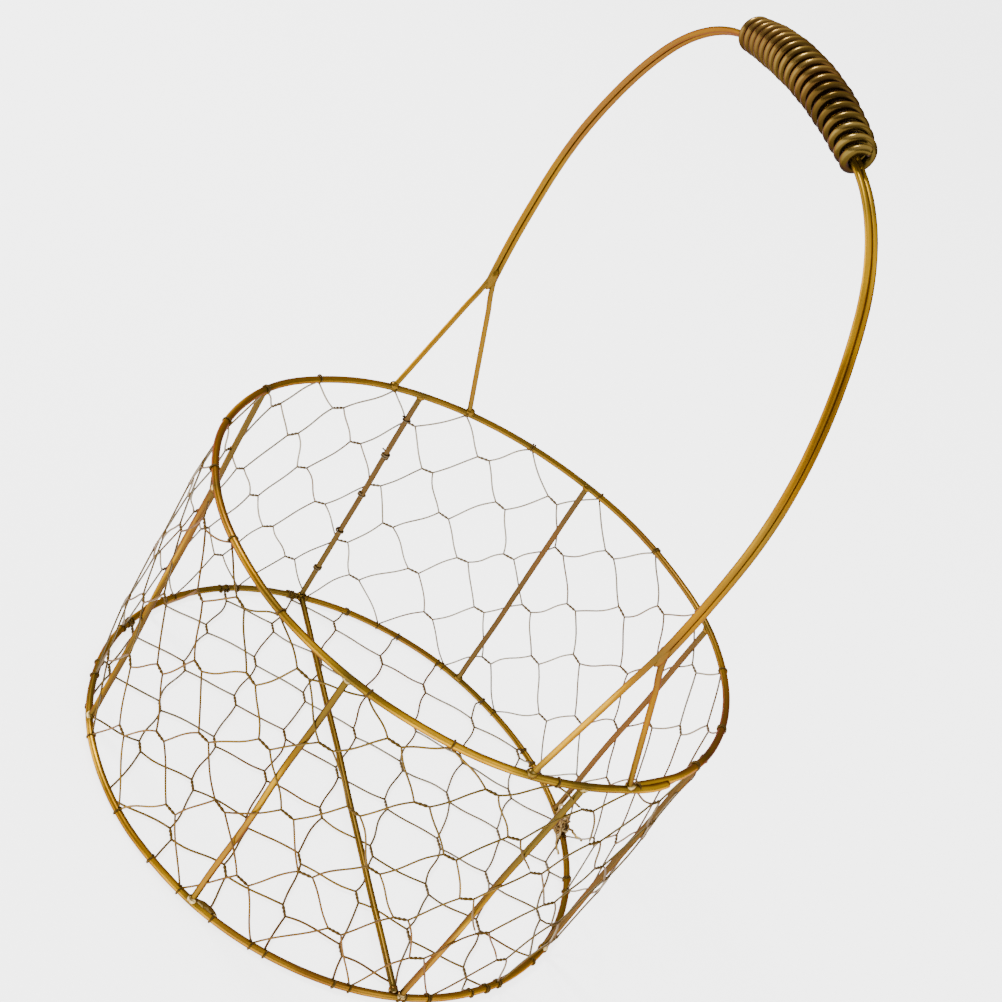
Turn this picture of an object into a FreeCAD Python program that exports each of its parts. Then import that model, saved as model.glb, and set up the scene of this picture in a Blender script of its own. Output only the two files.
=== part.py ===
import FreeCAD, Part
import math
import os
import random

# Egg collection basket: welded wire frame, hexagonal netting, fixed bow handle with a coil grip.
# Millimetres.  Z is up, the base ring rests on Z = 0 and the handle stands in the XZ plane.

doc = FreeCAD.newDocument("EggBasket")
sheet = doc.addObject("Spreadsheet::Sheet", "Sizes")

SIZES = [
    ("rim_radius", 120.0),
    ("ring_radius", 118.6),
    ("rim_wire", 3.2),
    ("ring_wire", 3.2),
    ("rim_height", 133.2),
    ("rib_wire", 2.8),
    ("cross_wire", 3.0),
    ("cross_height", 3.1),
    ("bow_wire", 2.5),
    ("bend_radius", 1.37),
    ("apex_reach", 120.8),
    ("apex_height", 200.4),
    ("bow_reach", 124.4),
    ("widest_height", 248.2),
    ("side_radius", 142.0),
    ("side_angle", 36.0),
    ("shoulder_radius", 75.0),
    ("shoulder_angle", 75.0),
    ("foot_right_front", -6.5),
    ("foot_right_back", 15.5),
    ("foot_left_back", 167.7),
    ("foot_left_front", 187.5),
    ("grip_length", 100.0),
    ("grip_wire", 3.0),
    ("grip_turns", 20.0),
    ("grip_mid_radius", 6.9),
    ("grip_end_radius", 5.1),
    ("grip_lift", 1.9),
    ("net_wire", 0.9),
    ("net_twist", 1.6),
    ("net_radius", 120.9),
    ("net_columns", 19.0),
    ("net_rows", 8.0),
    ("net_top", 132.6),
    ("net_bottom", 2.4),
    ("net_phase", 8.0),
    ("net_rise", 9.0),
    ("net_rise_direction", 315.0),
    ("twist_length", 5.8),
    ("twist_overhang", 1.2),
    ("net_stray", 1.3),
    ("floor_net_height", 1.0),
    ("floor_column", 44.4),
    ("floor_row", 18.3),
    ("floor_skew", 11.5),
    ("floor_slide", 6.0),
    ("floor_offset", -1.8),
    ("floor_radius", 117.4),
    ("tie_wire", 1.0),
    ("ring_tie_height", 2.45),
    ("ring_tie_core", 2.7),
    ("bead_radius", 2.2),
    ("braze_radius", 2.7),
    ("braze_length", 9.0),
]

# Name of each rib with the direction of its top and of its foot, in degrees from +X.
RIBS = [
    ("right", 5.0, 1.5),
    ("back_right", 42.0, 45.0),
    ("back", 89.0, 91.0),
    ("back_left", 135.5, 134.5),
    ("left", 180.0, 180.0),
    ("front_left", 226.5, 226.0),
    ("front", 268.5, 267.5),
    ("front_right", 317.5, 315.5),
]

# Heights of the ties that hold the netting's seam to the left rib.
SEAM_TIES = (22.0, 47.0, 71.0, 96.0, 118.0)

for row, (alias, value) in enumerate(SIZES, start=1):
    sheet.set(f"A{row}", alias)
    sheet.set(f"B{row}", str(value))
    sheet.setAlias(f"B{row}", alias)
doc.recompute()

nodes = []


def size(alias):
    return float(sheet.get(alias))


def vector(x, y, z):
    return FreeCAD.Vector(x, y, z)


def polar(radius, degrees, z):
    angle = math.radians(degrees)
    return vector(radius * math.cos(angle), radius * math.sin(angle), z)


def keep(item, name):
    item.Label = name
    nodes.append(item)
    return item


def turned_to(direction, position):
    turn = FreeCAD.Rotation(vector(0, 0, 1), direction)
    return FreeCAD.Placement(position, turn)


def straight_wire(name, start, end, wire):
    rod = doc.addObject("Part::Cylinder", name)
    rod.setExpression("Radius", f"Sizes.{wire} / 2")
    rod.Height = (end - start).Length
    rod.Placement = turned_to(end - start, start)
    return rod


def ring(name, radius, wire, z):
    torus = doc.addObject("Part::Torus", name)
    torus.setExpression("Radius1", f"Sizes.{radius}")
    torus.setExpression("Radius2", f"Sizes.{wire} / 2")
    torus.Placement = FreeCAD.Placement(vector(0, 0, z), FreeCAD.Rotation())
    return torus


def ball(name, position, radius):
    sphere = doc.addObject("Part::Sphere", name)
    sphere.setExpression("Radius", radius)
    sphere.Placement = FreeCAD.Placement(position, FreeCAD.Rotation())
    return sphere


def computed(name, shape):
    feature = doc.addObject("Part::Feature", name)
    feature.Shape = shape
    return feature


# Frame: rim, base ring, ribs and the cross wire.

def rib_top(degrees):
    return polar(size("rim_radius"), degrees, size("rim_height"))


def rib_foot(degrees):
    return polar(size("ring_radius"), degrees, size("ring_wire") / 2)


def make_frame():
    keep(ring("top_rim", "rim_radius", "rim_wire", size("rim_height")), "top_rim")
    keep(ring("base_ring", "ring_radius", "ring_wire", size("ring_wire") / 2), "base_ring")
    for side, top, foot in RIBS:
        name = f"rib_{side}"
        keep(straight_wire(name, rib_foot(foot), rib_top(top), "rib_wire"), name)
    reach = size("ring_radius") - size("ring_wire") / 4
    left = vector(-reach, 0, size("cross_height"))
    right = vector(reach, 0, size("cross_height"))
    keep(straight_wire("base_cross_wire", left, right, "cross_wire"), "base_cross_wire")


# Handle: each bow wire runs from a foot on the rim over the crown to the opposite foot.

def bow_profile():
    """Points and arcs of the right half of the bow, as (x, z) pairs from the apex to the crown."""
    reach = size("bow_reach")
    widest = size("widest_height")
    drop = widest - size("apex_height")
    inset = reach - size("apex_reach")
    lower_radius = (drop * drop + inset * inset) / (2 * inset)
    half_turn = math.asin(drop / lower_radius) / 2
    lower_mid = (reach - lower_radius * (1 - math.cos(half_turn)),
                 widest - lower_radius * math.sin(half_turn))
    side = size("side_radius")
    shoulder = size("shoulder_radius")
    first = math.radians(size("side_angle"))
    second = math.radians(size("shoulder_angle"))
    side_centre = (reach - side, widest)
    shoulder_centre = (side_centre[0] + (side - shoulder) * math.cos(first),
                       side_centre[1] + (side - shoulder) * math.sin(first))

    def on(centre, radius, angle):
        return (centre[0] + radius * math.cos(angle), centre[1] + radius * math.sin(angle))

    end = on(shoulder_centre, shoulder, second)
    crown_radius = end[0] / math.cos(second)
    crown_centre = (0.0, end[1] - crown_radius * math.sin(second))
    apex = (size("apex_reach"), size("apex_height"))
    arcs = [
        (apex, lower_mid, (reach, widest)),
        ((reach, widest), on(side_centre, side, first / 2), on(side_centre, side, first)),
        (on(side_centre, side, first), on(shoulder_centre, shoulder, (first + second) / 2), end),
    ]
    return arcs, crown_centre, crown_radius, end


def bow_spine(y):
    arcs, centre, radius, end = bow_profile()
    edges = []
    for start, middle, stop in arcs:
        points = [vector(x, y, z) for x, z in (start, middle, stop)]
        edges.append(Part.Arc(*points).toShape())
    crown = [vector(end[0], y, end[1]), vector(0, y, centre[1] + radius), vector(-end[0], y, end[1])]
    edges.append(Part.Arc(*crown).toShape())
    for start, middle, stop in reversed(arcs):
        points = [vector(-x, y, z) for x, z in (stop, middle, start)]
        edges.append(Part.Arc(*points).toShape())
    return Part.Wire(edges)


def make_bow(name, side, right_foot, left_foot):
    y = side * size("bow_wire") / 2
    spine = computed(f"{name}_spine", bow_spine(y))
    section = doc.addObject("Part::Circle", f"{name}_section")
    section.setExpression("Radius", "Sizes.bow_wire / 2")
    apex = vector(size("apex_reach"), y, size("apex_height"))
    start = spine.Shape.Edges[0].tangentAt(spine.Shape.Edges[0].FirstParameter)
    section.Placement = turned_to(start, apex)
    sweep = doc.addObject("Part::Sweep", f"{name}_sweep")
    sweep.Sections = [section]
    sweep.Spine = (spine, [f"Edge{i + 1}" for i in range(len(spine.Shape.Edges))])
    sweep.Solid = True
    sweep.Frenet = False
    pieces = [sweep]
    for hand, foot in ((1, right_foot), (-1, left_foot)):
        corner = vector(hand * size("apex_reach"), y, size("apex_height"))
        toe = polar(size("rim_radius"), size(foot), size("rim_height"))
        tag = "right" if hand > 0 else "left"
        pieces.append(straight_wire(f"{name}_leg_{tag}", toe, corner, "bow_wire"))
        pieces.append(ball(f"{name}_bend_{tag}", corner, "Sizes.bend_radius"))
    bow = doc.addObject("Part::MultiFuse", name)
    bow.Shapes = pieces
    keep(bow, name)


def make_fork_brazes():
    for hand, tag in ((1, "right"), (-1, "left")):
        name = f"fork_braze_{tag}"
        corner = vector(hand * size("apex_reach"), 0, size("apex_height"))
        collar = doc.addObject("Part::Ellipsoid", name)
        collar.setExpression("Radius1", "Sizes.braze_length / 2")
        collar.setExpression("Radius2", "Sizes.braze_radius")
        collar.setExpression("Radius3", "Sizes.braze_radius")
        collar.Placement = FreeCAD.Placement(corner, FreeCAD.Rotation())
        keep(collar, name)


def grip_radius(share):
    """Coil radius at a share of the grip from -1 at one end to 1 at the other."""
    rise = 1.0 - abs(share) ** 2.6
    return size("grip_end_radius") + (size("grip_mid_radius") - size("grip_end_radius")) * rise


def make_grip():
    arcs, centre, radius, end = bow_profile()
    half = size("grip_length") / 2 / radius
    turns = size("grip_turns")
    steps = int(turns * 10)
    points = []
    for step in range(steps + 1):
        share = 2.0 * step / steps - 1.0
        along = share * half
        swing = 2 * math.pi * turns * step / steps
        out = grip_radius(share)
        reach = radius + size("grip_lift") + out * math.cos(swing)
        points.append(vector(reach * math.sin(along), out * math.sin(swing),
                             centre[1] + reach * math.cos(along)))
    curve = Part.BSplineCurve()
    curve.interpolate(points)
    start = curve.tangent(curve.FirstParameter)[0]
    circle = Part.Wire(Part.makeCircle(size("grip_wire") / 2, points[0], start))
    coil = Part.Wire(curve.toShape()).makePipeShell([circle], True, True)
    keep(computed("grip_coil", coil), "grip_coil")


# Netting: straight strands between short twists, on a half-offset hexagonal pattern.

def strand(start, end, wire):
    return Part.makeCylinder(wire / 2, (end - start).Length, start, end - start)


def twist(start, end):
    along = (end - start).normalize() * size("twist_overhang")
    return strand(start - along, end + along, size("net_twist"))


def joined(pieces):
    return pieces[0].multiFuse(pieces[1:])


def wall_twists():
    """Ends of each wall twist as (degrees, height) pairs, keyed by row and column."""
    rows = int(size("net_rows"))
    columns = int(size("net_columns"))
    pitch = 360.0 / columns
    half = math.degrees(size("twist_length") / 2 / size("net_radius"))
    stray = size("net_stray")
    rise = size("net_rise") / 2
    spread = random.Random(11)
    twists = {}
    for row in range(rows):
        z = size("net_bottom") + (size("net_top") - size("net_bottom")) * row / (rows - 1)
        loose = 0.0 if row in (0, rows - 1) else 1.0
        for column in range(columns):
            angle = (column + 0.5 * (row % 2)) * pitch + size("net_phase")
            swing = math.radians(angle - size("net_rise_direction"))
            angle += spread.uniform(-1, 1) * stray
            height = z + (rise * (1 + math.cos(swing)) + spread.uniform(-1, 1) * stray) * loose
            tilt = spread.uniform(-1, 1) * stray * 0.5 * loose
            twists[row, column] = ((angle - half, height - tilt), (angle + half, height + tilt))
    return twists


def wall_strands():
    """Every wall strand as (start, end, wire), the ends being (degrees, height) pairs."""
    twists = wall_twists()
    rows = int(size("net_rows"))
    columns = int(size("net_columns"))
    strands = []
    for (row, column), (left, right) in twists.items():
        strands.append((left, right, size("net_twist")))
        if row == rows - 1:
            continue
        before = column - 1 if row % 2 == 0 else column
        after = column if row % 2 == 0 else column + 1
        upper_right = twists[row + 1, before % columns][1]
        upper_left = twists[row + 1, after % columns][0]
        strands.append((left, upper_right, size("net_wire")))
        strands.append((right, upper_left, size("net_wire")))
    return strands


def near(degrees, reference):
    return reference + (degrees - reference + 180.0) % 360.0 - 180.0


def make_wall_netting():
    strands = wall_strands()
    for index, (side, top, foot) in enumerate(RIBS):
        middle = 22.5 + 45.0 * index
        pieces = []
        for start, end, wire in strands:
            first = near(start[0], middle)
            last = near(end[0], first)
            if abs((first + last) / 2 - middle) > 22.5:
                continue
            a = polar(size("net_radius"), first, start[1])
            b = polar(size("net_radius"), last, end[1])
            pieces.append(twist(a, b) if wire == size("net_twist") else strand(a, b, wire))
        following = RIBS[(index + 1) % len(RIBS)][0]
        name = f"netting_{side}_to_{following}"
        keep(computed(name, joined(pieces)), name)


def floor_strands():
    """Every strand of the base netting as (start, end, wire) in the plane of the base."""
    column = size("floor_column")
    row = size("floor_row")
    skew = math.tan(math.radians(size("floor_skew")))
    slide = size("floor_slide")
    offset = size("floor_offset")
    half = size("twist_length") / 2
    spread = random.Random(23)
    twists = {}
    for j in range(-9, 10):
        for i in range(-5, 6):
            along = (i + 0.5 * (j % 2)) * column
            x = along - j * slide + offset
            y = j * row + skew * along + offset
            x += spread.uniform(-1, 1) * size("net_stray")
            y += spread.uniform(-1, 1) * size("net_stray")
            twists[i, j] = ((x - half, y), (x + half, y))
    strands = []
    for (i, j), (left, right) in twists.items():
        strands.append((left, right, size("net_twist")))
        before = i - 1 if j % 2 == 0 else i
        after = before + 1
        if (before, j + 1) in twists:
            strands.append((left, twists[before, j + 1][1], size("net_wire")))
        if (after, j + 1) in twists:
            strands.append((right, twists[after, j + 1][0], size("net_wire")))
    return strands


def clipped(start, end, limit):
    """The part of a strand inside the ring, or None where it lies outside."""
    if math.hypot(*start) > limit:
        start, end = end, start
    if math.hypot(*start) > limit:
        return None
    if math.hypot(*end) <= limit:
        return start, end
    inside, outside = 0.0, 1.0
    for _ in range(30):
        middle = (inside + outside) / 2
        x = start[0] + (end[0] - start[0]) * middle
        y = start[1] + (end[1] - start[1]) * middle
        if math.hypot(x, y) > limit:
            outside = middle
        else:
            inside = middle
    return start, (start[0] + (end[0] - start[0]) * inside, start[1] + (end[1] - start[1]) * inside)


def make_floor_netting():
    limit = size("floor_radius")
    z = size("floor_net_height")
    halves = {"front": [], "back": []}
    for start, end, wire in floor_strands():
        part = clipped(start, end, limit)
        if part is None:
            continue
        a = vector(part[0][0], part[0][1], z)
        b = vector(part[1][0], part[1][1], z)
        if (b - a).Length < 1.0:
            continue
        half = halves["back" if a.y + b.y > 0 else "front"]
        half.append(twist(a, b) if wire == size("net_twist") else strand(a, b, wire))
    for tag, pieces in halves.items():
        name = f"base_netting_{tag}"
        keep(computed(name, joined(pieces)), name)


# Ties: cut ends of the netting wound round the rim, the base ring and the seam rib.

def tie_rings(radius, height, angles, core):
    loops = []
    thread = size("tie_wire")
    for degrees in angles:
        centre = polar(radius, degrees, height)
        axis = polar(1.0, degrees + 90.0, 0.0)
        for offset in (-0.5, 0.5):
            loops.append(Part.makeTorus((core + thread) / 2, thread / 2, centre + axis * offset * thread,
                                        axis))
    return Part.makeCompound(loops)


def edge_angles(row):
    """Directions of the twists along one edge of the wall netting."""
    return [(left[0] + right[0]) / 2 for key, (left, right) in wall_twists().items() if key[0] == row]


def make_ties():
    rim_angles = edge_angles(int(size("net_rows")) - 1)
    rim = tie_rings(size("rim_radius"), size("rim_height"), rim_angles, size("rim_wire"))
    keep(computed("rim_ties", rim), "rim_ties")
    base = tie_rings(size("ring_radius"), size("ring_tie_height"), edge_angles(0),
                     size("ring_tie_core"))
    keep(computed("ring_ties", base), "ring_ties")
    loops = []
    thread = size("tie_wire")
    foot = rib_foot(180.0)
    top = rib_top(180.0)
    for height in SEAM_TIES:
        share = (height - foot.z) / (top.z - foot.z)
        centre = foot + (top - foot) * share
        for offset in (-0.5, 0.5):
            loops.append(Part.makeTorus((size("rib_wire") + thread) / 2, thread / 2,
                                        centre + vector(0, 0, offset * thread), top - foot))
    keep(computed("seam_ties", Part.makeCompound(loops)), "seam_ties")


# Weld beads where wires meet.

def make_beads(name, places, radius):
    spheres = [Part.makeSphere(radius, place) for place in places]
    keep(computed(name, Part.makeCompound(spheres)), name)


def make_welds():
    bead = size("bead_radius")
    tops = [rib_top(top) for side, top, foot in RIBS]
    make_beads("rim_weld_beads", tops, bead)
    lift = vector(0, 0, bead - size("ring_wire") / 2 + 0.2)
    feet = [rib_foot(foot) + lift for side, top, foot in RIBS]
    make_beads("ring_weld_beads", feet, bead)
    aliases = ("foot_right_front", "foot_right_back", "foot_left_back", "foot_left_front")
    toes = [polar(size("rim_radius"), size(alias), size("rim_height") + 1.0) for alias in aliases]
    make_beads("fork_weld_beads", toes, bead)


make_frame()
make_bow("bow_wire_front", -1, "foot_right_front", "foot_left_front")
make_bow("bow_wire_back", 1, "foot_right_back", "foot_left_back")
make_fork_brazes()
make_grip()
make_wall_netting()
make_floor_netting()
make_ties()
make_welds()

doc.recompute()
for item in doc.Objects:
    if "Invalid" in item.State or "Error" in item.State:
        raise RuntimeError(f"{item.Label} did not recompute")
os.makedirs("parts", exist_ok=True)
for item in nodes:
    if item.Shape.isNull() or not item.Shape.isValid():
        raise RuntimeError(f"{item.Label} has no valid shape")
    item.Shape.exportStep(f"parts/{item.Label}.step")
    box = item.Shape.BoundBox
    print(item.Label, len(item.Shape.Solids), round(item.Shape.Volume, 1),
          [round(v, 1) for v in (box.XMin, box.YMin, box.ZMin, box.XMax, box.YMax, box.ZMax)])
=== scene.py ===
import bpy
import math
import random
from mathutils import Matrix, Vector, noise


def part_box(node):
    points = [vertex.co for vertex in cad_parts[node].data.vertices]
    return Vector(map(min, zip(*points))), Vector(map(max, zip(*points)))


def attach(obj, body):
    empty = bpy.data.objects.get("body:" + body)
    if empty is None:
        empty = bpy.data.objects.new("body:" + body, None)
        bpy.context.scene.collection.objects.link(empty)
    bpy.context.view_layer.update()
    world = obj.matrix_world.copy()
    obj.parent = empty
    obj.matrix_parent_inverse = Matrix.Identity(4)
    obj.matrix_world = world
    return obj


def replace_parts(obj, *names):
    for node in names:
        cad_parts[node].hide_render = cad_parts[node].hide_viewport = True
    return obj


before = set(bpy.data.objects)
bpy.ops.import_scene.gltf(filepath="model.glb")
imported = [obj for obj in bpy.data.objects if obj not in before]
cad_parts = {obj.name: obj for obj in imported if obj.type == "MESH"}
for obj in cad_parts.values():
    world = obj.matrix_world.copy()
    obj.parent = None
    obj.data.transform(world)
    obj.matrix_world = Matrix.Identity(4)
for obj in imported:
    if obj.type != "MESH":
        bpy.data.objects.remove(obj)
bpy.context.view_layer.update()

# noise_vector starts from the clock unless it has a seed.
noise.seed_set(7)

MM = 0.001
TAU = 2 * math.pi
UP = Vector((0, 0, 1))

# The frame.  A "wire" size is the radius of the wire itself, and an "R" is the radius of a ring.
rim_low, rim_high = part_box("top_rim")
ring_low, ring_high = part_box("base_ring")
cross_low, cross_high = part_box("base_cross_wire")
RIM_WIRE = (rim_high.z - rim_low.z) / 2
RING_WIRE = (ring_high.z - ring_low.z) / 2
RIM_Z = (rim_high.z + rim_low.z) / 2
RING_Z = (ring_high.z + ring_low.z) / 2
RIM_R = 120.0 * MM
RING_R = 118.6 * MM
RIB_WIRE = 1.4 * MM
CROSS_WIRE = 1.5 * MM
BOW_WIRE = 1.25 * MM

# Where the two handle wires part, on the right.
APEX = Vector((120.8, 0, 200.4)) * MM

# Rib side, direction of its top and of its foot in degrees from +X.
RIBS = [
    ("right", 5.0, 1.5),
    ("back_right", 42.0, 45.0),
    ("back", 89.0, 91.0),
    ("back_left", 135.5, 134.5),
    ("left", 180.0, 180.0),
    ("front_left", 226.5, 226.0),
    ("front", 268.5, 267.5),
    ("front_right", 317.5, 315.5),
]
SIDES = [side for side, top, foot in RIBS]
FORK_FEET = {"right_front": -6.5, "right_back": 15.5, "left_back": 167.7, "left_front": 187.5}


def polar(radius, degrees, z=0.0):
    angle = math.radians(degrees)
    return Vector((radius * math.cos(angle), radius * math.sin(angle), z))


def tangent(degrees):
    return polar(1.0, degrees + 90)


rib_tops = [polar(RIM_R, top, RIM_Z) for side, top, foot in RIBS]
rib_feet = [polar(RING_R, foot, RING_Z) for side, top, foot in RIBS]
fork_toes = {name: polar(RIM_R, degrees, RIM_Z) for name, degrees in FORK_FEET.items()}


# Procedural materials.

def new_material(name):
    material = bpy.data.materials.new(name)
    material.use_nodes = True
    tree = material.node_tree
    return material, tree, tree.nodes["Principled BSDF"]


def add_node(tree, kind, **inputs):
    node = tree.nodes.new(kind)
    for key, value in inputs.items():
        node.inputs[key.replace("_", " ")].default_value = value
    return node


def noise_at(tree, place, scale, detail, roughness):
    node = add_node(tree, "ShaderNodeTexNoise", Scale=scale, Detail=detail, Roughness=roughness)
    tree.links.new(place, node.inputs["Vector"])
    return node.outputs["Fac"]


def shade_on_mesh(tree, name):
    node = tree.nodes.new("ShaderNodeAttribute")
    node.attribute_name = name
    return node.outputs["Fac"]


def ramp(tree, level, stops):
    node = tree.nodes.new("ShaderNodeValToRGB")
    elements = node.color_ramp.elements
    while len(elements) < len(stops):
        elements.new(0.5)
    for element, (place, colour) in zip(elements, stops):
        element.position = place
        element.color = (*colour, 1.0)
    tree.links.new(level, node.inputs["Fac"])
    return node.outputs["Color"]


def mix(tree, factor, under, over, blend="MIX"):
    """Mixes two colours.  Each input is the output of a node, or a plain value."""
    node = tree.nodes.new("ShaderNodeMix")
    node.data_type = "RGBA"
    node.blend_type = blend
    for name, given in (("Factor", factor), ("A", under), ("B", over)):
        if isinstance(given, bpy.types.NodeSocket):
            tree.links.new(given, node.inputs[name])
        else:
            node.inputs[name].default_value = given
    return node.outputs["Result"]


def grey(value):
    return (value, value, value)


DRIFT_SHIFT = 0.20
GRAIN_SCALE = 1500.0
PITS = [(0.60, grey(1.0)), (0.76, (0.55, 0.42, 0.34))]
PIT_DEPTH = 0.7
TARNISH_SCALE = 13.0
TARNISH_TINT = [(0.42, (0.080, 0.056, 0.010)), (0.58, (0.125, 0.050, 0.014))]
TARNISH_AMOUNT = [(0.36, grey(0.65)), (0.46, grey(0.0)), (0.53, grey(0.0)), (0.63, grey(0.60))]
WARM_GLINT = (0.30, 0.18, 0.06, 1.0)


def wire_material(name, tones, burnt_and_shade_tone, metallic=0.9, rough=(0.28, 0.45), drift_scale=16.0, bump=0.2,
                  stops=(0.42, 0.72, 0.88, 1.04)):
    """Plated wire.  Its tones run from painted shade on one side to a painted highlight on the
    other.  They drift along the wire, under clouds of tarnish; the wire is burnt at joints, takes
    painted shade under the grip, and is finely pitted."""
    material, tree, shader = new_material(name)
    link = tree.links.new
    place = tree.nodes.new("ShaderNodeTexCoord").outputs["Object"]
    drift = noise_at(tree, place, drift_scale, 3.0, 0.5)
    grain = noise_at(tree, place, GRAIN_SCALE, 3.0, 0.7)
    cloud = noise_at(tree, place, TARNISH_SCALE, 2.0, 0.4)

    shift = add_node(tree, "ShaderNodeMapRange", From_Min=0.3, From_Max=0.7,
                     To_Min=-DRIFT_SHIFT, To_Max=DRIFT_SHIFT)
    shift.clamp = False
    link(drift, shift.inputs["Value"])
    # Painted light and shade: the level picks a tone by which way the surface faces, drifting along the
    # wire.
    level = tree.nodes.new("ShaderNodeMath")
    level.operation = "ADD"
    link(shade_on_mesh(tree, "painted_light"), level.inputs[0])
    link(shift.outputs["Result"], level.inputs[1])

    places = [min(1.0, stop) for stop in stops]
    plating_and_painted_light = ramp(tree, level.outputs["Value"], list(zip(places, tones)))
    pitted = mix(tree, PIT_DEPTH, plating_and_painted_light, ramp(tree, grain, PITS), "MULTIPLY")
    amount = ramp(tree, cloud, TARNISH_AMOUNT)
    tarnished = mix(tree, amount, pitted, ramp(tree, cloud, TARNISH_TINT))
    # The joint shade darkens burnt joints, and under the grip it lays painted shade.
    scorched_and_shaded = mix(tree, shade_on_mesh(tree, "joint"), tarnished, (*burnt_and_shade_tone, 1.0))
    link(scorched_and_shaded, shader.inputs["Base Color"])

    gloss = add_node(tree, "ShaderNodeMapRange", To_Min=rough[0], To_Max=rough[1])
    link(grain, gloss.inputs["Value"])
    link(gloss.outputs["Result"], shader.inputs["Roughness"])
    relief = add_node(tree, "ShaderNodeBump", Strength=bump, Distance=0.1 * MM)
    link(grain, relief.inputs["Height"])
    link(relief.outputs["Normal"], shader.inputs["Normal"])
    shader.inputs["Metallic"].default_value = metallic
    shader.inputs["Specular Tint"].default_value = WARM_GLINT
    return material


# In each material below, the tones run from painted shade to a painted highlight.
OLIVE = (0.072, 0.048, 0.009)
DULL_OLIVE = (0.074, 0.042, 0.009)
GOLD = wire_material(
    "antique_gold_wire",
    [(0.160, 0.083, 0.008), (0.165, 0.074, 0.003), (0.225, 0.101, 0.001), (0.480, 0.250, 0.005)],
    OLIVE)
RIB = wire_material(
    "brown_gold_rib",
    [(0.074, 0.041, 0.013), (0.090, 0.046, 0.008), (0.145, 0.070, 0.001), (0.320, 0.172, 0.003)],
    OLIVE)
# The grip's joint tone is painted shade under the coil; its last tone is a cream painted highlight.
GRIP = wire_material(
    "olive_bronze_grip",
    [(0.026, 0.014, 0.004), (0.054, 0.030, 0.007), (0.092, 0.054, 0.010), (0.280, 0.185, 0.048)],
    (0.018, 0.010, 0.001), rough=(0.18, 0.32), stops=(0.50, 0.78, 0.92, 1.0))
# The netting's first tone is pale grey, a painted wash of light on the inward sides of its wires.
NET = wire_material(
    "dulled_gold_netting",
    [(0.280, 0.244, 0.184), (0.110, 0.063, 0.013), (0.145, 0.080, 0.011), (0.235, 0.135, 0.022)],
    DULL_OLIVE, metallic=0.7, rough=(0.35, 0.55), drift_scale=24.0)
KNOT = wire_material(
    "pale_gold_ends",
    [(0.150, 0.090, 0.025), (0.240, 0.150, 0.040), (0.420, 0.290, 0.100), (0.700, 0.540, 0.260)],
    DULL_OLIVE, metallic=0.7, rough=(0.35, 0.55), drift_scale=120.0)
# The welds' last tone is a cream painted glint.
WELD = wire_material(
    "scorched_weld",
    [(0.160, 0.083, 0.008), (0.080, 0.045, 0.006), (0.170, 0.096, 0.009), (0.800, 0.620, 0.260)],
    (0.085, 0.046, 0.008), rough=(0.12, 0.35), drift_scale=260.0, bump=0.5)


# Wire meshes.  A run is (points, wire radius, closed, joint shade at each point); under the
#  grip the joint shade is painted shade.

def outward(point):
    """The side of a wire given a painted highlight, with painted shade opposite: away from the middle
    and a little upwards.
    """
    away = Vector((point.x, point.y, 0)).normalized()
    return (away * 0.85 + UP * 0.52).normalized()


def add_shades(mesh, name, values):
    shade = mesh.attributes.new(name, "FLOAT", "POINT")
    shade.data.foreach_set("value", [max(0.0, min(1.0, value)) for value in values])


def finish(name, vertices, faces, shades, painted_light_levels, material):
    """A smooth mesh that carries the joint shade and the painted light and shade, riding on the basket.
    """
    mesh = bpy.data.meshes.new(name)
    mesh.from_pydata([tuple(v) for v in vertices], [], faces)
    mesh.update()
    mesh.polygons.foreach_set("use_smooth", [True] * len(faces))
    add_shades(mesh, "joint", shades)
    add_shades(mesh, "painted_light", painted_light_levels)
    mesh.materials.append(material)
    piece = bpy.data.objects.new(name, mesh)
    bpy.context.scene.collection.objects.link(piece)
    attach(piece, "root")
    return piece


def skin(first, count, sides, closed):
    """Faces over a row of vertex rings, capped where the row isn't closed on itself."""
    faces = []
    for index in range(count if closed else count - 1):
        here = first + index * sides
        there = first + ((index + 1) % count) * sides
        for side in range(sides):
            beside = (side + 1) % sides
            faces.append((here + side, here + beside, there + beside, there + side))
    if not closed:
        last = first + (count - 1) * sides
        faces.append(tuple(first + side for side in reversed(range(sides))))
        faces.append(tuple(last + side for side in range(sides)))
    return faces


def course(points, index, closed):
    """Direction of a run at one of its points."""
    last = len(points) - 1
    if closed:
        ahead = points[(index + 1) % len(points)] - points[index - 1]
    else:
        ahead = points[min(index + 1, last)] - points[max(index - 1, 0)]
    return ahead.normalized()


def tube(name, runs, material, slot, sides=12, roughness=0.03, seed=0, highlight_side=outward):
    """One mesh of round wires with slightly uneven skin."""
    vertices = []
    faces = []
    shades = []
    painted_light_levels = []
    for points, radius, closed, joints in runs:
        first = len(vertices)
        normal = course(points, 0, closed).orthogonal()
        for index, point in enumerate(points):
            ahead = course(points, index, closed)
            normal = (normal - ahead * normal.dot(ahead)).normalized()
            across = ahead.cross(normal)
            for side in range(sides):
                angle = TAU * side / sides
                out = normal * math.cos(angle) + across * math.sin(angle)
                swell = noise.noise(point * 260 + out * 0.9 + Vector((seed, 0, 0)))
                vertices.append(point + out * radius * (1 + roughness * swell))
                shades.append(joints[index])
                # Painted light and shade: brightest on the side facing the highlight direction, darkest
                # on the far side.
                painted_light_levels.append(0.5 + 0.5 * out.dot(highlight_side(point)))
        faces += skin(first, len(points), sides, closed)
    return finish(name, vertices, faces, shades, painted_light_levels, material)


def near_joint(point, joints, reach):
    """Shade from 1 at a joint to 0 at the stated reach from it, with a ragged edge."""
    closest = min((point - joint).length for joint in joints)
    ragged = 1 + 0.5 * noise.noise(point * 300)
    return max(0.0, 1 - closest / (reach * ragged)) ** 1.3


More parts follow.
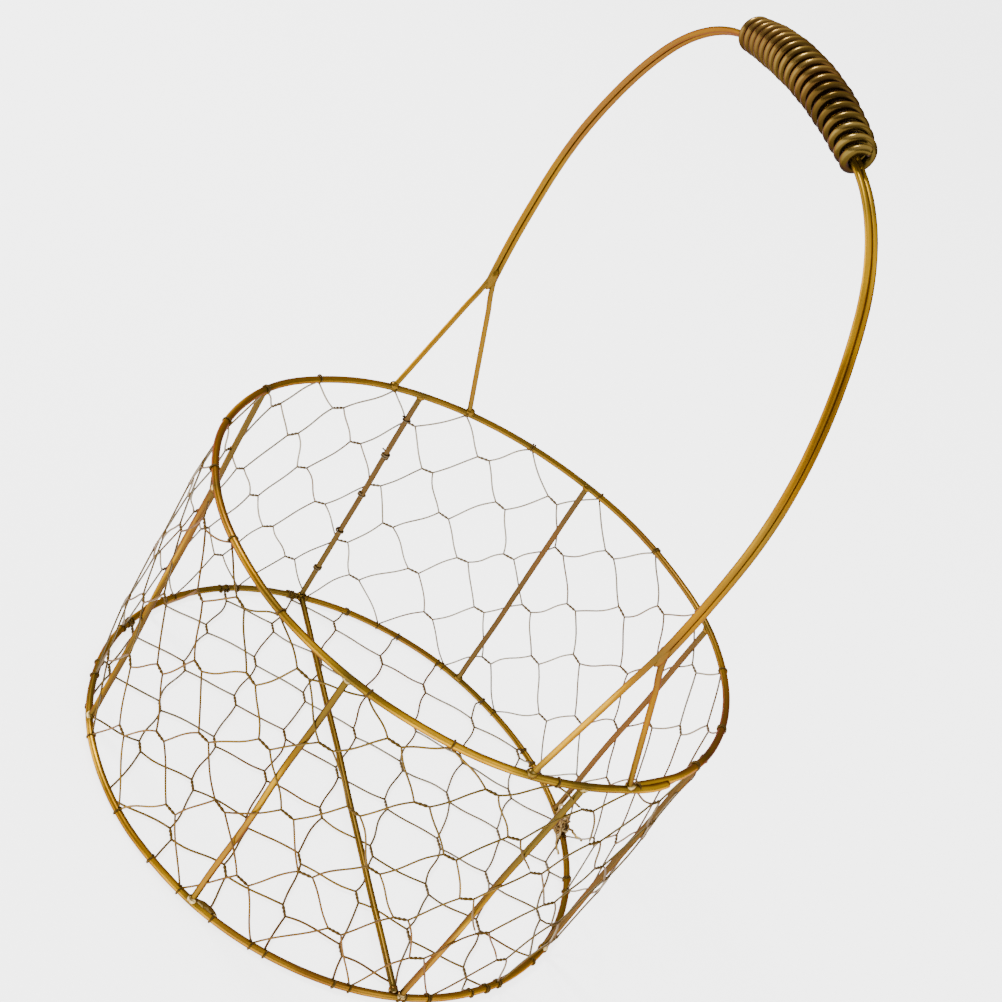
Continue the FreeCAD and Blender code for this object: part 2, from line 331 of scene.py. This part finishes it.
def wavy(point, amount, seed):
    """A hand-bent wire's slow drift from its true line."""
    lift = Vector((seed * 7.3, seed * 3.1, 0))
    return point + noise.noise_vector(point * 22 + lift) * amount


def straight_wire(start, end, steps, drift, seed):
    """Points along a rib or cross wire, which drifts most at its middle."""
    points = []
    for step in range(steps + 1):
        share = step / steps
        point = start.lerp(end, share)
        points.append(point.lerp(wavy(point, drift, seed), math.sin(share * math.pi)))
    return points


# Rings, ribs and cross wire.

RING_STEPS = 420
RING_DRIFT = 0.5 * MM
RING_SCORCH = 9 * MM
RIM_LAP_AT = 18.0
RIM_LAP = 8.0
LAP_EASE = 1.6


def ring_run(radius, z, wire, joints, seed, lap_at=0.0, lap=0.0):
    """A ring bent from one wire.  Where it has a lap, its two ends are brazed side by side."""
    points = []
    shades = []
    turn = 360 + lap
    for step in range(RING_STEPS + 1 if lap else RING_STEPS):
        round_ring = step / RING_STEPS
        along = turn * round_ring
        offset = 0.0
        if lap:
            early = max(0.0, 1 - along / (lap * LAP_EASE))
            late = max(0.0, 1 - (turn - along) / (lap * LAP_EASE))
            offset = wire * 0.75 * (min(1.0, late * LAP_EASE) - min(1.0, early * LAP_EASE))
        point = polar(radius + offset, lap_at + along, z)
        drifted = wavy(point, RING_DRIFT, seed)
        share = 1.0 if lap else min(1.0, 8 * round_ring, 8 * (1 - round_ring))
        point = point.lerp(drifted, share)
        point.z = max(point.z, wire)
        points.append(point)
        shades.append(0.8 * near_joint(point, joints, RING_SCORCH))
    return points, wire, not lap, shades


def make_rings():
    on_rim = rib_tops + list(fork_toes.values())
    rim = ring_run(RIM_R, RIM_Z, RIM_WIRE, on_rim, 1, RIM_LAP_AT, RIM_LAP)
    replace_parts(tube("rim_wire", [rim], GOLD, "frame_wire", sides=16, seed=1), "top_rim")
    ring = ring_run(RING_R, RING_Z, RING_WIRE, rib_feet, 2)
    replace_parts(tube("base_ring_wire", [ring], GOLD, "frame_wire", sides=16, seed=2), "base_ring")


RIB_DRIFT = 1.1 * MM
RIB_SCORCH = 12 * MM


def make_ribs():
    for index, (side, top, foot) in enumerate(RIBS):
        start = rib_feet[index] - polar(0.4 * MM, foot)
        end = rib_tops[index] + UP * 0.6 * MM
        points = straight_wire(start, end, 40, RIB_DRIFT, index + 5)
        shades = [0.8 * near_joint(point, [start, end], RIB_SCORCH) for point in points]
        rib = tube(f"rib_wire_{side}", [(points, RIB_WIRE, False, shades)], RIB, "frame_wire",
                   sides=14, seed=index + 10)
        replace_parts(rib, f"rib_{side}")


CROSS_DRIFT = 0.9 * MM
CROSS_SCORCH = 20 * MM


def make_cross_wire():
    """The wire across the base is dark olive all along, and darkest at its ends."""
    z = (cross_low.z + cross_high.z) / 2
    points = straight_wire(Vector((cross_low.x, 0, z)), Vector((cross_high.x, 0, z)), 60,
                           CROSS_DRIFT, 31)
    ends = [points[0], points[-1]]
    shades = [0.6 + 0.4 * near_joint(point, ends, CROSS_SCORCH) for point in points]
    wire = tube("cross_wire", [(points, CROSS_WIRE, False, shades)], GOLD, "frame_wire", sides=14,
                seed=32)
    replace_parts(wire, "base_cross_wire")


# Handle.  Its bow is a row of arcs in the X-Z plane, in mm, with the widest place at WIDEST.

REACH = 124.4
WIDEST = 248.2
SIDE_RADIUS = 142.0
SHOULDER_RADIUS = 75.0
SIDE_ANGLE = math.radians(36.0)
SHOULDER_ANGLE = math.radians(75.0)


def on_circle(centre, radius, swing):
    return centre[0] + radius * math.cos(swing), centre[1] + radius * math.sin(swing)


side_centre = (REACH - SIDE_RADIUS, WIDEST)
shoulder_centre = on_circle(side_centre, SIDE_RADIUS - SHOULDER_RADIUS, SIDE_ANGLE)
crown_end = on_circle(shoulder_centre, SHOULDER_RADIUS, SHOULDER_ANGLE)
CROWN_RADIUS = crown_end[0] / math.cos(SHOULDER_ANGLE)
CROWN_CENTRE = crown_end[1] - CROWN_RADIUS * math.sin(SHOULDER_ANGLE)


def arc(centre, radius, begin, end, steps):
    """Places round an arc, without its last one."""
    return [on_circle(centre, radius, begin + (end - begin) * step / steps)
            for step in range(steps)]


def bow_line():
    """The bow's centre line from the right apex over the crown to the left apex."""
    inset = REACH - APEX.x / MM
    drop = WIDEST - APEX.z / MM
    foot_radius = (drop * drop + inset * inset) / (2 * inset)
    foot_angle = math.asin(drop / foot_radius)
    right = arc((REACH - foot_radius, WIDEST), foot_radius, -foot_angle, 0, 16)
    right += arc(side_centre, SIDE_RADIUS, 0, SIDE_ANGLE, 24)
    right += arc(shoulder_centre, SHOULDER_RADIUS, SIDE_ANGLE, SHOULDER_ANGLE, 18)
    right += arc((0, CROWN_CENTRE), CROWN_RADIUS, SHOULDER_ANGLE, math.pi / 2, 16)
    line = right + [(0, CROWN_CENTRE + CROWN_RADIUS)] + [(-x, z) for x, z in reversed(right)]
    return [Vector((x, 0, z)) * MM for x, z in line]


LEG_STEPS = 24
LEAN_FROM = 0.80
LEAN = 0.3


def leg_line(toe, apex, following):
    """From the foot on the rim to the apex, turning smoothly into the bow."""
    points = []
    for step in range(LEG_STEPS + 1):
        share = step / LEG_STEPS
        lean = max(0.0, (share - LEAN_FROM) / (1 - LEAN_FROM))
        blend = apex - following * (1 - share) * (apex - toe).length
        points.append(toe.lerp(apex, share).lerp(blend, LEAN * lean))
    return points


def front_and_up(point):
    """The bow's painted highlight is on its front and top, with painted shade on its back and
    underside.
    """
    return Vector((0.35 * point.x / APEX.x, -0.75, 0.55)).normalized()


BOW_DRIFT = 0.35 * MM
BOW_SCORCH = 13 * MM


def make_bow_wires():
    line = bow_line()
    for tag, sign in (("front", -1), ("back", 1)):
        shift = Vector((0, sign * BOW_WIRE, 0))
        bow = [wavy(point, BOW_DRIFT, 40) + shift for point in line]
        rise = (bow[1] - bow[0]).normalized()
        fall = (bow[-2] - bow[-1]).normalized()
        right = leg_line(fork_toes[f"right_{tag}"], bow[0], rise)
        left = leg_line(fork_toes[f"left_{tag}"], bow[-1], fall)
        points = right[:-1] + bow + list(reversed(left[:-1]))
        ends = [points[0], points[-1], bow[0], bow[-1]]
        shades = [0.75 * near_joint(point, ends, BOW_SCORCH) for point in points]
        wire = tube(f"bow_{tag}", [(points, BOW_WIRE, False, shades)], GOLD, "frame_wire", sides=14,
                    seed=44 + sign, highlight_side=front_and_up)
        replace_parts(wire, f"bow_wire_{tag}")


# Coil grip, in mm except for its wire.

GRIP_RADIUS = CROWN_RADIUS + 1.9
GRIP_HALF_LENGTH = 50.0
GRIP_TURNS = 20
GRIP_TURN_STEPS = 36
GRIP_END = 4.9
GRIP_BULGE = 1.8
GRIP_WIRE = 1.75 * MM


def off_the_crown(point):
    """Straight out from the grip's own curved axis: painted highlights on the crests of the turns,
    painted shade in the valleys between them.
    """
    reach = Vector((point.x, 0, point.z - CROWN_CENTRE * MM))
    axis = reach.normalized() * GRIP_RADIUS * MM
    return Vector((reach.x - axis.x, point.y, reach.z - axis.z)).normalized()


def make_grip():
    """Coil wound round the crown, fatter in the middle and sitting a little above the bow.  Its
    turns are closer together at one end, with painted shade underneath."""
    half = GRIP_HALF_LENGTH / CROWN_RADIUS
    steps = GRIP_TURNS * GRIP_TURN_STEPS
    points = []
    shades = []
    for step in range(steps + 1):
        turned = step / steps
        pressed = turned - 0.035 * math.sin(math.pi * turned) ** 2
        along = (2 * pressed - 1) * half
        out = GRIP_END + GRIP_BULGE * (1 - abs(2 * turned - 1) ** 2.6)
        out += 0.08 * math.sin(turned * 37)
        swing = TAU * GRIP_TURNS * turned
        reach = GRIP_RADIUS + out * math.cos(swing)
        points.append(Vector((reach * math.sin(along), out * math.sin(swing),
                              CROWN_CENTRE + reach * math.cos(along))) * MM)
        # Painted shade: darker underneath the coil.
        shades.append(0.46 - 0.46 * math.cos(swing))
    coil = tube("grip_coil_wire", [(points, GRIP_WIRE, False, shades)], GRIP, "grip_wire",
                sides=18, seed=50, highlight_side=off_the_crown)
    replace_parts(coil, "grip_coil")


# Netting, in mm except for its threads.  Twist positions follow the same seeded pattern as the
# CAD netting.  A strand between two twists is first marked by its random bends.

NET_R = 120.9
COLUMNS = 19
ROWS = 8
LOWEST_ROW = 2.4
HIGHEST_ROW = 132.6
NET_THREAD = 0.43 * MM
BASE_THREAD = 0.50 * MM
STRAY = 1.3
TWIST = 5.8
TWIST_TURNS = 1.5
TWIST_STEPS = 16
TWIST_RADIUS = 0.27
TWIST_SHADE = 0.75
STRAND_STEPS = 8
STRAND_SHADE = 0.1
NET_LOOKS = {"sides": 7, "roughness": 0.1}


def wall_twists():
    pitch = 360.0 / COLUMNS
    half = math.degrees(TWIST / 2 / NET_R)
    spread = random.Random(11)
    twists = {}
    for row in range(ROWS):
        z = LOWEST_ROW + (HIGHEST_ROW - LOWEST_ROW) * row / (ROWS - 1)
        loose = 0.0 if row in (0, ROWS - 1) else 1.0
        for column in range(COLUMNS):
            angle = (column + 0.5 * (row % 2)) * pitch + 8.0
            rise = 4.5 * (1 + math.cos(math.radians(angle - 315.0)))
            angle += spread.uniform(-1, 1) * STRAY
            height = z + (rise + spread.uniform(-1, 1) * STRAY) * loose
            tilt = spread.uniform(-1, 1) * STRAY * 0.5 * loose
            twists[row, column] = ((angle - half, height - tilt), (angle + half, height + tilt))
    return twists


def floor_twists():
    spread = random.Random(23)
    skew = math.tan(math.radians(11.5))
    twists = {}
    for j in range(-9, 10):
        for i in range(-5, 6):
            along = (i + 0.5 * (j % 2)) * 44.4
            x = along - j * 6.0 - 1.8
            y = j * 18.3 + skew * along - 1.8
            x += spread.uniform(-1, 1) * STRAY
            y += spread.uniform(-1, 1) * STRAY
            twists[i, j] = ((x - TWIST / 2, y), (x + TWIST / 2, y))
    return twists


def on_wall(degrees, height, out):
    return polar((NET_R + 0.3 + out) * MM, degrees, height * MM)


def on_base(x, y, out):
    return Vector((x, y, 1.0 + out)) * MM


def wind_twist(points, shades, ends, side, place):
    """One wire's share of a twist, winding round its neighbour on the stated side."""
    (start, start_height), (end, end_height) = ends
    for step in range(TWIST_STEPS + 1):
        share = step / TWIST_STEPS
        swing = side * math.pi / 2 + TAU * TWIST_TURNS * share
        ease = min(1.0, 6 * share, 6 * (1 - share))
        height = start_height + (end_height - start_height) * share
        height += TWIST_RADIUS * math.sin(swing) * max(ease, 0.3)
        out = TWIST_RADIUS * math.cos(swing) * ease
        points.append(place(start + (end - start) * share, height, out))
        shades.append(TWIST_SHADE)


def mark_strand(points, shades, spread):
    """Marks where a loose strand follows, filled in once its far end is known."""
    points.append((spread.uniform(-1, 1), spread.uniform(-1, 1)))
    shades.append(None)


def fill_strands(points, shades, closed, bend, facing):
    """Replaces each strand marker by a slightly bent run between its neighbours."""
    filled = []
    tones = []
    for index, point in enumerate(points):
        if isinstance(point, Vector):
            filled.append(point)
            tones.append(shades[index])
            continue
        start = points[index - 1]
        end = points[(index + 1) % len(points)]
        normal = facing(start)
        sideways = normal.cross((end - start).normalized())
        arch, kink = point
        for step in range(1, STRAND_STEPS):
            share = step / STRAND_STEPS
            bulge = math.sin(share * math.pi)
            swerve = arch * bulge + 0.5 * kink * math.sin(share * TAU)
            lift = 0.3 * kink * bulge
            filled.append(start.lerp(end, share) + (sideways * swerve + normal * lift) * bend)
            tones.append(STRAND_SHADE)
    return filled, tones


def upward(point):
    return UP


def away_from_axis(point):
    return Vector((point.x, point.y, 0)).normalized()


def wind_ring(points, shades, degrees, at_ring, spread):
    """Turns of netting wire round the rim or the base ring."""
    radius, z, core = (RING_R, RING_Z, RING_WIRE) if at_ring else (RIM_R, RIM_Z, RIM_WIRE)
    turns = spread.choice((1, 1, 2))
    out = core + 0.2 * MM
    width = math.degrees(turns * 1.05 * MM / radius)
    begin = math.pi / 2 if at_ring else -math.pi / 2
    steps = turns * 14
    for step in range(steps + 1):
        share = step / steps
        swing = begin + TAU * turns * share
        place = degrees + width * (share - 0.5)
        point = polar(radius + out * math.cos(swing), place, z + out * math.sin(swing))
        point.z = max(point.z, NET_THREAD)
        points.append(point)
        shades.append(1.0)


def wall_wire(level, twists, spread):
    """One wire of the wall, which zigzags between two rows of twists or round a ring."""
    points = []
    shades = []
    for column in range(COLUMNS):
        after = column if level % 2 == 0 else (column + 1) % COLUMNS
        for row, place, side in ((level, column, 1), (level + 1, after, -1)):
            ends = twists[row, place]
            if row in (0, ROWS - 1):
                wind_ring(points, shades, (ends[0][0] + ends[1][0]) / 2, row == 0, spread)
            else:
                wind_twist(points, shades, ends, side, on_wall)
            mark_strand(points, shades, spread)
    return points, shades


def make_wall_netting():
    twists = wall_twists()
    spread = random.Random(5)
    runs = []
    for level in range(ROWS - 1):
        points, shades = wall_wire(level, twists, spread)
        points, shades = fill_strands(points, shades, True, 1.2 * MM, away_from_axis)
        runs.append((points, NET_THREAD, True, shades))
    net = tube("wall_netting", runs, NET, "net_wire", seed=60, **NET_LOOKS)
    panels = [f"netting_{a}_to_{b}" for a, b in zip(SIDES, SIDES[1:] + SIDES[:1])]
    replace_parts(net, *panels, "rim_ties", "ring_ties")


def floor_wire(level, twists, spread):
    """One wire of the base, which zigzags between two rows of twists."""
    points = []
    shades = []
    for i in range(-5, 6):
        after = i if level % 2 == 0 else i + 1
        for place, side in (((i, level), 1), ((after, level + 1), -1)):
            if place in twists:
                wind_twist(points, shades, twists[place], side, on_base)
                mark_strand(points, shades, spread)
    return points[:-1], shades[:-1]


def ring_end(inside, spread):
    """A cut end carried to the base ring and wound round it."""
    degrees = math.degrees(math.atan2(inside.y, inside.x))
    points = []
    shades = []
    wind_ring(points, shades, degrees + spread.uniform(-1.5, 1.5), True, spread)
    return points, shades


def make_floor_netting():
    twists = floor_twists()
    spread = random.Random(8)
    limit = RING_R - RING_WIRE
    runs = []
    for level in range(-9, 9):
        points, shades = floor_wire(level, twists, spread)
        points, shades = fill_strands(points, shades, False, 1.5 * MM, upward)
        keep = [index for index, point in enumerate(points) if point.to_2d().length < limit]
        if len(keep) < 8:
            continue
        kept = slice(keep[0], keep[-1] + 1)
        head, head_shades = ring_end(points[keep[0]], spread)
        tail, tail_shades = ring_end(points[keep[-1]], spread)
        points = head[::-1] + points[kept] + tail
        shades = head_shades[::-1] + shades[kept] + tail_shades
        runs.append((points, BASE_THREAD, False, shades))
    net = tube("base_netting", runs, NET, "net_wire", seed=61, **NET_LOOKS)
    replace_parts(net, "base_netting_front", "base_netting_back")


# Heights in mm at which the netting's cut edges are wound round the left rib.
SEAM_TIES = (22.0, 47.0, 71.0, 96.0, 118.0)


def make_seam():
    """The netting's cut edges wound round the left rib, with short tails left standing."""
    spread = random.Random(77)
    runs = []
    left = SIDES.index("left")
    foot, top = rib_feet[left], rib_tops[left]
    out = RIB_WIRE + NET_THREAD
    for height in SEAM_TIES:
        centre = foot.lerp(top, (height * MM - foot.z) / (top.z - foot.z))
        turns = spread.choice((1.5, 2.0, 2.5))
        begin = spread.uniform(0, TAU)
        points = []
        steps = int(turns * 14)
        for step in range(steps + 1):
            swing = begin + TAU * turns * step / steps
            rise = (step / steps - 0.5) * turns * 1.0 * MM
            points.append(centre + Vector((out * math.cos(swing), out * math.sin(swing), rise)))
        away = (points[-1] - points[-2]).normalized()
        for step in range(1, 4):
            points.append(points[steps] + away * step * 0.7 * MM + UP * step * 0.25 * MM)
        runs.append((points, NET_THREAD, False, [0.8] * len(points)))
    seam = tube("seam_windings", runs, NET, "net_wire", seed=62, **NET_LOOKS)
    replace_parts(seam, "seam_ties")


KNOT_THREAD = 0.60 * MM
KNOT_STEP = 0.8 * MM
KNOT_SIZE = 14 * MM
KNOT_REACH = RING_R + 1.8 * MM
KNOTTED_STRANDS = 6
TAIL_STRANDS = 3


def into_the_basket(point):
    """Painted highlight: loose ends are brightest where they face inwards and up."""
    return Vector((0.5, -0.6, 0.6)).normalized()


def make_loose_ends():
    """Cut ends of the netting knotted together on the base ring beside the back rib."""
    spread = random.Random(41)
    knot = polar(RING_R - 2.0 * MM, 85.5, RING_Z + 4.0 * MM)
    tail = -tangent(84.0)
    runs = []
    for strand in range(KNOTTED_STRANDS + TAIL_STRANDS):
        knotted = strand < KNOTTED_STRANDS
        heading = Vector([spread.uniform(-1, 1) for axis in range(3)])
        points = [knot + heading * 1.5 * MM]
        for step in range(40 if knotted else 26):
            heading += Vector([spread.uniform(-0.6, 0.6) for axis in range(3)])
            pull = (knot - points[-1]) / KNOT_SIZE if knotted else tail * 0.4
            heading = (heading + pull).normalized()
            point = points[-1] + heading * KNOT_STEP
            point.z = max(point.z, 1.0 * MM)
            over = point.to_2d().length - KNOT_REACH
            if over > 0:
                point -= away_from_axis(point) * over
            points.append(point)
        runs.append((points, KNOT_THREAD, False, [0.0] * len(points)))
    tube("loose_net_ends", runs, KNOT, "net_wire", seed=63, highlight_side=into_the_basket, **NET_LOOKS)


# Weld metal.

BLOB_SIDES = 16
BLOB_STEPS = 12


def blobs(name, lumps, material, *replaced):
    """Uneven lumps of weld metal, one at each (place, radius, half length, axis)."""
    vertices = []
    faces = []
    shades = []
    painted_light_levels = []
    for index, (place, radius, length, axis) in enumerate(lumps):
        normal = axis.orthogonal().normalized()
        across = axis.normalized().cross(normal)
        shuffle = Vector((index * 5.1, 0, 0))
        first = len(vertices)
        for step in range(BLOB_STEPS + 1):
            share = 2 * step / BLOB_STEPS - 1
            point = place + axis * (length * share)
            girth = radius * math.sqrt(1 - 0.97 * share * share)
            for side in range(BLOB_SIDES):
                angle = TAU * side / BLOB_SIDES
                out = normal * math.cos(angle) + across * math.sin(angle)
                lump = 1 + 0.22 * noise.noise(point * 500 + out * 1.7 + shuffle)
                vertices.append(point + out * girth * lump)
                shades.append(0.3 + 0.5 * noise.noise(point * 700 + out))
                # Painted light and shade on the weld, as on the wires.
                painted_light_levels.append(0.5 + 0.5 * out.dot(outward(point)))
        faces += skin(first, BLOB_STEPS + 1, BLOB_SIDES, False)
    piece = finish(name, vertices, faces, shades, painted_light_levels, material)
    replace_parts(piece, *replaced)


BEAD = (1.9 * MM, 2.3 * MM)
CROSS_BEAD = (2.1 * MM, 2.0 * MM)
TOE_BEAD = (2.0 * MM, 2.4 * MM)
WEB = (1.9 * MM, 6.0 * MM)
BRAZE = (2.0 * MM, 5.5 * MM)

# Direction in degrees of a flat web of braze on the base ring.
WEB_AT = -41.6


def make_welds():
    """Each weld's two sizes are its radius and its half length."""
    tops = [(rib_top - UP * 0.8 * MM, *BEAD, tangent(top))
            for rib_top, (side, top, foot) in zip(rib_tops, RIBS)]
    blobs("rim_welds", tops, WELD, "rim_weld_beads")

    feet = [(rib_foot + UP * 1.0 * MM, *BEAD, tangent(foot))
            for rib_foot, (side, top, foot) in zip(rib_feet, RIBS)]
    feet += [(Vector((x, 0, RING_Z + 1.0 * MM)), *CROSS_BEAD, Vector((0, 1, 0)))
             for x in (cross_low.x + 1.5 * MM, cross_high.x - 1.5 * MM)]
    feet.append((polar(RING_R - 1.3 * MM, WEB_AT, RING_Z + 0.6 * MM), *WEB, tangent(WEB_AT)))
    blobs("base_welds", feet, WELD, "ring_weld_beads")

    toes = [(fork_toes[name] + UP * 1.3 * MM, *TOE_BEAD, tangent(degrees))
            for name, degrees in FORK_FEET.items()]
    blobs("fork_foot_welds", toes, WELD, "fork_weld_beads")

    crotches = [(Vector((sign * APEX.x, 0, APEX.z + 0.5 * MM)), *BRAZE, UP) for sign in (1, -1)]
    blobs("fork_brazes", crotches, GOLD, "fork_braze_right", "fork_braze_left")


# Floor, light and camera.

FLOOR_SIZE = 60
FLOOR_Z = -0.3 * MM
FLOOR_GLOW = 3.0
SKY = [(0.0, (0.30, 0.28, 0.26)), (0.30, (0.62, 0.61, 0.60)), (0.70, grey(1.0))]
SKY_STRENGTH = 1.25

# Light name, place, aim, power in watts and size in metres.
LIGHTS = [
    ("key", (-1.2, -1.0, 1.8), (0, 0, 0.10), 44, 0.5),
    ("fill", (1.4, 0.9, 1.3), (0, 0, 0.15), 14, 1.4),
]

CAMERA_PLACE = Vector((0.4923, -0.3394, 0.4780))
CAMERA_AIM = Vector((-0.0406, 0.0171, 0.1400))
CAMERA_ROLL = math.radians(33.8)
CAMERA_LENS = 59.68


def make_floor():
    bpy.ops.mesh.primitive_plane_add(size=FLOOR_SIZE, location=(0, 0, FLOOR_Z))
    floor = bpy.context.object
    floor.name = "floor"
    material, tree, shader = new_material("pale_floor")
    shader.inputs["Base Color"].default_value = (0.93, 0.93, 0.93, 1)
    shader.inputs["Emission Color"].default_value = (1.0, 1.0, 1.0, 1)
    shader.inputs["Emission Strength"].default_value = FLOOR_GLOW
    shader.inputs["Roughness"].default_value = 0.9
    shader.inputs["Specular IOR Level"].default_value = 0.1
    floor.data.materials.append(material)


def make_world():
    world = bpy.data.worlds.new("studio")
    world.use_nodes = True
    bpy.context.scene.world = world
    tree = world.node_tree
    place = tree.nodes.new("ShaderNodeTexCoord")
    split = tree.nodes.new("ShaderNodeSeparateXYZ")
    tree.links.new(place.outputs["Generated"], split.inputs["Vector"])
    background = tree.nodes["Background"]
    tree.links.new(ramp(tree, split.outputs["Z"], SKY), background.inputs["Color"])
    background.inputs["Strength"].default_value = SKY_STRENGTH


def make_lights():
    for name, place, aim, power, size in LIGHTS:
        data = bpy.data.lights.new(name, "AREA")
        data.energy = power
        data.size = size
        light = bpy.data.objects.new(name, data)
        light.location = place
        towards = Vector(aim) - Vector(place)
        light.rotation_euler = towards.to_track_quat("-Z", "Y").to_euler()
        bpy.context.scene.collection.objects.link(light)


def make_camera():
    data = bpy.data.cameras.new("camera")
    data.sensor_width = 36.0
    data.lens = CAMERA_LENS
    data.clip_start = 0.01
    camera = bpy.data.objects.new("camera", data)
    level = (CAMERA_AIM - CAMERA_PLACE).to_track_quat("-Z", "Y").to_matrix()
    roll = Matrix.Rotation(CAMERA_ROLL, 3, "Z")
    camera.rotation_mode = "QUATERNION"
    camera.rotation_quaternion = (level @ roll).to_quaternion()
    camera.location = CAMERA_PLACE
    bpy.context.scene.collection.objects.link(camera)
    bpy.context.scene.camera = camera


make_rings()
make_ribs()
make_cross_wire()
make_bow_wires()
make_grip()
make_wall_netting()
make_floor_netting()
make_seam()
make_loose_ends()
make_welds()
make_floor()
make_world()
make_lights()
make_camera()
